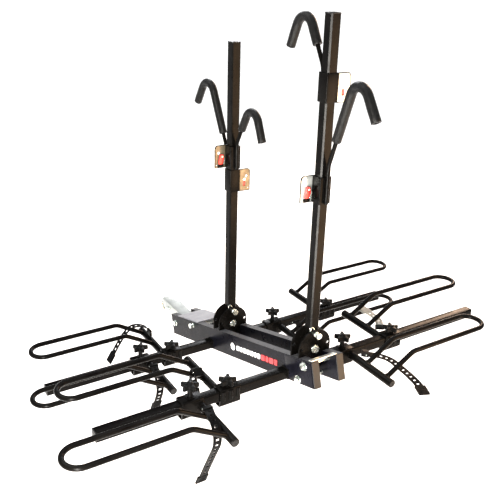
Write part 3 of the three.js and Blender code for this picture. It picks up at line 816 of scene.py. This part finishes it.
def star_knob(name, at):
    """A five-lobed knob on its neck, above the clamp."""
    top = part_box(name + "_knob")[1].z / MM - at.z
    points, radii = [], []
    for i in range(5):
        a = 2 * math.pi * i / 5 + math.radians(148)
        lobe = ((-0.13, KNOB["tip"], 2), (0.13, KNOB["tip"], 2), (math.pi / 5, KNOB["waist"], 4))
        for turn, r, soft in lobe:
            points.append((r * math.cos(a + turn), r * math.sin(a + turn)))
            radii.append(soft)
    star = round_outline(points, radii, 4)
    shape = Shape()
    head = facing((1, 0, 0), (0, 1, 0), (0, 0, top - KNOB["thick"] / 2))
    shape.add(slab([star], KNOB["thick"], 2.4, 3), "knob_plastic", head)
    dome = ((1.0, 3.2), (0.9, 1.8), (0.7, 0.7), (0.4, 0.0))
    shape.add(tube([Vector((0, 0, top - 6)), Vector((0, 0, top + 3.4))], 10.5, 32, dome), "knob_plastic")
    shape.add(rod((0, 0, top - 21), (0, 0, top - 13), 9.5, 32, 1.2), "knob_plastic")
    shape.add(rod((0, 0, 17), (0, 0, top - 15), 7.6, 24, 0.8), "knob_plastic")
    make(name + "_knob_look", shape, name + "_knob", [name + "_knob"], at=at)


# ---------- hooks ----------


def hook_path(kind, face):
    """The bent rod's middle line, from the collar's foot over the top to the tip."""
    lean, fall = math.radians(kind["lean"]), math.radians(kind["fall"])
    up = Vector((math.sin(lean), -face * kind["drift"], math.cos(lean))).normalized()
    down = Vector((math.sin(fall), 0, -math.cos(fall)))
    setback = kind["bend"] * math.tan((math.pi - lean - fall) / 2)
    climb = kind["apex"] - kind["knee"] - kind["bend"] * (1 - math.sin(lean))
    foot = Vector((COLLAR["rod"], 0, 2))
    start = Vector((COLLAR["rod"], 0, kind["knee"]))
    corner = start + up * (climb / math.cos(lean) + setback)
    tip = corner + down * (setback + kind["tip"])
    return fill_in(bent([foot, start, corner, tip], [40, kind["bend"]], 6), 14)


def hook(name, kind, face):
    """Collar, rod, latch plate, foam sleeve and release lever; face is the rod's side along X."""
    end = name.split("_")[0]
    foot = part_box(name + "_hook")[0].z / MM
    spin = Matrix.Rotation(0 if face > 0 else math.pi, 4, "Z")
    at = Vector((UPRIGHT[end].x, 0, foot))
    outer = COLLAR["outer"]
    half = TUBE / 2 + 0.4
    shape = Shape()
    ring = round_outline([(-outer, -outer), (outer, -outer), (outer, outer), (-outer, outer)], 2.6)
    bore = round_outline([(-half, -half), (half, -half), (half, half), (-half, half)], 1.5)
    height = COLLAR["height"]
    upright = facing((1, 0, 0), (0, 1, 0), (0, 0, height / 2))
    shape.add(slab([ring, bore], height, 0.8), "black_paint", spin @ upright)
    path = hook_path(kind, face)
    stem = [spin @ p for p in path]
    shape.add(tube(stem[:-1], COLLAR["bar"], 22), "black_paint")
    for y in (-6, 6):
        shape.add(seam(spin @ Vector((outer, y, 6)), spin @ Vector((outer, y, 70)), 1.6, y), "black_paint")
    edge = -outer - LATCH["reach"]
    corners = [(edge, 0), (-outer + 2, 0), (-outer + 2, height), (edge, height)]
    plate = round_outline(corners, [3, 0, 0, 12], 6)
    window = [(-outer - 21, 17), (-outer - 11, 17), (-outer - 11, 34), (-outer - 21, 34)]
    holes = [circle(5, -outer - 24, 50), circle(2.1, -outer - 31, 9, 16), round_outline(window, 3)]
    flat = facing((0, 1, 0), (0, 0, 1), (-outer + LATCH["thick"] / 2, 0, 0))
    # The latch plates are the same part at both ends, but the rear ones take a lighter zinc than the front
    # ones: painted light, for the stronger light on the rear plates.
    finish = "latch_zinc" if end == "front" else "bright_zinc_and_lit_latch"
    shape.add(slab([plate, *holes], LATCH["thick"], 0.5), finish, spin @ flat)
    # A black frame a little proud of the latch plate, over its rim: partly the dark cut edge of the plate,
    # partly painted shade along its sides.
    proud, inset = 0.4, 1.6
    rim = [
        (edge - proud, -proud),
        (-outer + 2, -proud),
        (-outer + 2, height + proud),
        (edge - proud, height + proud),
    ]
    inside = [
        (edge + inset, inset),
        (-outer + 1, inset),
        (-outer + 1, height - inset),
        (edge + inset, height - inset),
    ]
    latch_shade_frame = [round_outline(rim, [3, 0, 0, 12], 6), round_outline(inside, [2, 0, 0, 10.5], 6)]
    shape.add(slab(latch_shade_frame, 3.5, 0.4), "black_paint", spin @ flat)
    pin_y, pin_z = -outer - 16, LATCH["pin"]
    for back, front, radius, sides in ((-1.2, 14, 3, 18), (-1.4, 0.4, 5, 20)):
        a = spin @ Vector((-outer + back, pin_y, pin_z))
        b = spin @ Vector((-outer + front, pin_y, pin_z))
        shape.add(rod(a, b, radius, sides), "zinc")
    pawl = round_outline([(-9, 0), (11, 0), (11, 7), (2, 10), (-9, 7)], 1.5)
    dark = facing((0, 1, 0), (0, 0, 1), (-outer + 6, -outer - 20, 3))
    shape.add(slab([pawl], 6, 0.8), "knob_plastic", spin @ dark)
    coil = []
    for i in range(60):
        a = i * 0.7
        ring = (-outer + 7 + 2.2 * math.cos(a), pin_y + 9 + i * 0.05, 14 + i * 0.25 + 2.2 * math.sin(a))
        coil.append(spin @ Vector(ring))
    shape.add(tube(coil, 0.55, 8), "zinc")
    make(name + "_hook_look", shape, name + "_hook", [name + "_hook"], at=at)

    grip = Shape()
    cover = [spin @ p for p in from_length(path, kind["knee"] + kind["bare"])]
    rings = ((1.0, 1.4), (0.95, 0.3), (0.9, 0.0), (0.52, 0.0), (0.5, 7.0))
    grip.add(tube(cover, FOAM, 36, rings, rough=0.45), "foam")
    make(name + "_foam_look", grip, name + "_hook", [name + "_hook_foam"], smooth=50, at=at)

    lever = Shape()
    outline = round_outline([(6.5, 3), (2, 7), (-5, 6), (-7.5, -4), (-11, -26), (2, -26), (6.5, -12)], 2.5)
    thick = 8
    place = facing((0, 1, 0), (0, 0, 1), (-outer + LATCH["thick"] + 0.4 + thick / 2, pin_y, pin_z))
    lever.add(slab([outline, circle(3.3)], thick, 1.1, 3), "lever_red", spin @ place)
    for z in (-22, -18, -14):
        a = spin @ Vector((-outer + 3.2, pin_y - 8.5, pin_z + z))
        b = spin @ Vector((-outer + 11.6, pin_y - 8.5, pin_z + z))
        lever.add(rod(a, b, 0.9, 8, 0.2), "lever_red")
    make(name + "_release_look", lever, name + "_release", [name + "_release"], at=at)


# ---------- uprights, arms and spine ----------


def square_cap(name, body, place, direction, finish="cap_plastic"):
    """A moulded cap pushed on the end of a square tube: direction points out of the tube."""
    direction = Vector(direction)
    x = Vector((1, 0, 0))
    y = direction.cross(x)
    half = TUBE / 2
    rim = round_outline([(-half, -half), (half, -half), (half, half), (-half, half)], 4.2)
    inset = round_outline([(-9, -9), (9, -9), (9, 9), (-9, 9)], 3)
    shape = Shape()
    shape.add(slab([rim], 3.4, 1.1, 3), finish, facing(x, y, Vector(place) + direction * 1.7))
    shape.add(slab([inset], 1.2, 0.4), finish, facing(x, y, Vector(place) + direction * 3.4))
    make(name, shape, body)


def upright_tube(end):
    """Square tube with chamfered corners, above the foot that the CAD node keeps."""
    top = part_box(end + "_upright")[1].z / MM
    x, z = UPRIGHT[end].x, UPRIGHT[end].z
    half, chamfer = TUBE / 2 + 0.1, 3.8
    profile = []
    for sx, sy in ((1, 1), (-1, 1), (-1, -1), (1, -1)):
        pair = [(sx * half, sy * (half - chamfer)), (sx * (half - chamfer), sy * half)]
        profile += pair if sx * sy > 0 else pair[::-1]
    shape = Shape()
    length = top - z - FOOT_TOP
    place = facing((1, 0, 0), (0, 1, 0), (x, 0, z + FOOT_TOP + length / 2))
    shape.add(slab([profile], length), "black_paint", place)
    make(end + "_upright_tube", shape, end + "_upright", smooth=20)


def spine_details():
    """Flange plates at the rails' rear ends, the arms' weld beads and the marks on the left rail."""
    for side, label in ((-1, "left"), (1, "right")):
        plate = round_outline([(-136, -80), (-2, -80), (-2, -2), (-136, -2)], 3)
        shape = Shape()
        flat = facing((1, 0, 0), (0, 0, 1), (0, side * (RAIL_FACE + 1.4), 0))
        shape.add(slab([plate], 2.2, 0.6), "rail_paint", SPINE @ flat)
        make(f"flange_{label}", shape, "spine")
        beads = Shape()
        for end in ("front", "rear"):
            half = TUBE / 2
            x, z = ARM[end].x, ARM[end].z
            y = side * (RAIL_FACE + (3.4 if end == "rear" else 0.6))
            corners = [(-half, -half), (half, -half), (half, half), (-half, half)]
            for i in range(4):
                a, b = corners[i], corners[(i + 1) % 4]
                beads.add(seam((x + a[0], y, z + a[1]), (x + b[0], y, z + b[1]), 2.0, i), "black_paint")
        make(f"arm_welds_{label}", beads, "spine")
    face = -RAIL_FACE - 0.35
    # A dot, then slanted bars in white and in red: left end, width, height, finish and corner radius.
    blocks = [(-483, 26, 26, "mark_white", 13.0)]
    x = -446
    for width in (20, 14, 22, 16, 20, 14, 18):
        blocks.append((x, width, 17, "mark_white", 3.0))
        x += width + 5
    x += 2
    for width in (22, 16, 24, 18):
        blocks.append((x, width, 19, "mark_red", 3.0))
        x += width + 5
    marks = Shape()
    for left, width, tall, finish, soft in blocks:
        lean = 0 if soft > 10 else tall * 0.28
        low, high = -42 - tall / 2, -42 + tall / 2
        outline = [(left, low), (left + width, low), (left + width + lean, high), (left + lean, high)]
        radius = min(soft, width / 2 - 0.2, tall / 2 - 0.2)
        place = SPINE @ facing((1, 0, 0), (0, 0, 1), (0, face, 0))
        marks.add(slab([round_outline(outline, radius, 6)], 0.5), finish, place)
    make("side_marks", marks, "spine")


def hex_head(place, direction, radius, thick, washer):
    """Flange washer and hexagon head with a domed top, standing out along direction."""
    direction = Vector(direction)
    base = Vector(place)
    shape = Shape()
    shape.add(rod(base, base + direction * 1.8, washer, 32, 0.5), "zinc")
    crown = ((1.0, 1.4), (0.86, 0.0), (0.5, -0.6))
    path = [base + direction * 1.6, base + direction * thick]
    shape.add(tube(path, radius, 6, crown), "zinc")
    return shape


def bolt_heads():
    """Heads of the two cross bolts through the rails, on both sides."""
    for label, spot in (("upper", (-36, -18)), ("lower", (-76, -68))):
        for side, word in ((-1, "left"), (1, "right")):
            centre = SPINE @ Vector((spot[0], side * (RAIL_FACE + 2.4), spot[1]))
            make(f"cross_{label}_head_{word}", hex_head(centre, (0, side, 0), 11.5, 8.5, 13.5), "spine")


def pull_bails():
    """Bent wire handles on the inner ends of the uprights' lock pins."""
    for end in ("front", "rear"):
        low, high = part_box(end + "_upright_pin")
        y, z = (low.y + high.y) / 2 / MM, (low.z + high.z) / 2 / MM
        x = low.x / MM + 3
        corners = [(x, y - 5, z), (x - 3, y - 17, z + 12), (x - 5, y - 12, z + 30), (x, y + 2, z + 4)]
        path = bent(corners, [7, 5])
        shape = Shape()
        shape.add(tube(path, 1.5, 12), "zinc")
        make(end + "_pull_bail", shape, end + "_upright_pin")


def hitch_clip():
    """Wire clip through the end of the hitch pin, whose axis is at mid height of the hitch bar."""
    y = 36
    corners = [(-16, y, 10), (22, y, 10), (22, y, -6), (4, y, -2), (-8, y, -6), (-18, y, -1)]
    shape = Shape()
    shape.add(tube(bent(corners, [7, 7, 8, 8]), 1.4, 12), "zinc")
    make("hitch_pin_clip", shape, "hitch_pin", at=(0, 0, HITCH_BAR / 2))


FINE = {
    "hitch_tongue": ("bright_zinc_and_lit_latch", 1.2),
    "hitch_pin": ("zinc", 0.8),
    "fold_pivot_bolt": ("zinc", 0.7),
    "fold_lock_pin": ("zinc", 0.7),
    "rail_left": ("rail_paint", 1.8),
    "rail_right": ("rail_paint", 1.8),
    "rail_cap_left": ("cap_plastic", 1.2),
    "rail_cap_right": ("cap_plastic", 1.2),
    "front_cover_plate": ("cover_paint", 1.0),
    "rear_tie_bar": ("bright_zinc_and_lit_latch", 0.8),
    "cross_bolt_upper": ("zinc", 0.7),
    "cross_bolt_lower": ("zinc", 0.7),
    "front_arm": ("black_paint", 0.5),
    "rear_arm": ("black_paint", 0.5),
    "front_pivot_plate_a": ("black_paint", 0.8),
    "front_pivot_plate_b": ("black_paint", 0.8),
    "rear_pivot_plate_a": ("black_paint", 0.8),
    "rear_pivot_plate_b": ("black_paint", 0.8),
    "front_upright_bolt": ("zinc", 0.6),
    "rear_upright_bolt": ("zinc", 0.6),
    "front_upright_pin": ("zinc", 0.6),
    "rear_upright_pin": ("zinc", 0.6),
}

make_camera()
make_studio()
for node, (finish, width) in FINE.items():
    refine(node, finish, width)
for end in ("front", "rear"):
    refine(end + "_upright", "black_paint", 0.5, top=UPRIGHT[end].z + FOOT_TOP + 1)
    upright_tube(end)
for name, (side, out, route) in CRADLES.items():
    cradle(name, side, out, route)
for name, (kind, face) in HOOKS.items():
    hook(name, kind, face)
for end in ("front", "rear"):
    low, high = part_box(end + "_arm")
    x, z = ARM[end].x, ARM[end].z
    square_cap(end + "_arm_cap_left", "spine", (x, low.y / MM, z), (0, -1, 0))
    square_cap(end + "_arm_cap_right", "spine", (x, high.y / MM, z), (0, 1, 0))
    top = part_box(end + "_upright")[1].z / MM
    square_cap(end + "_upright_cap", end + "_upright", (UPRIGHT[end].x, 0, top), (0, 0, 1))
spine_details()
bolt_heads()
pull_bails()
hitch_clip()
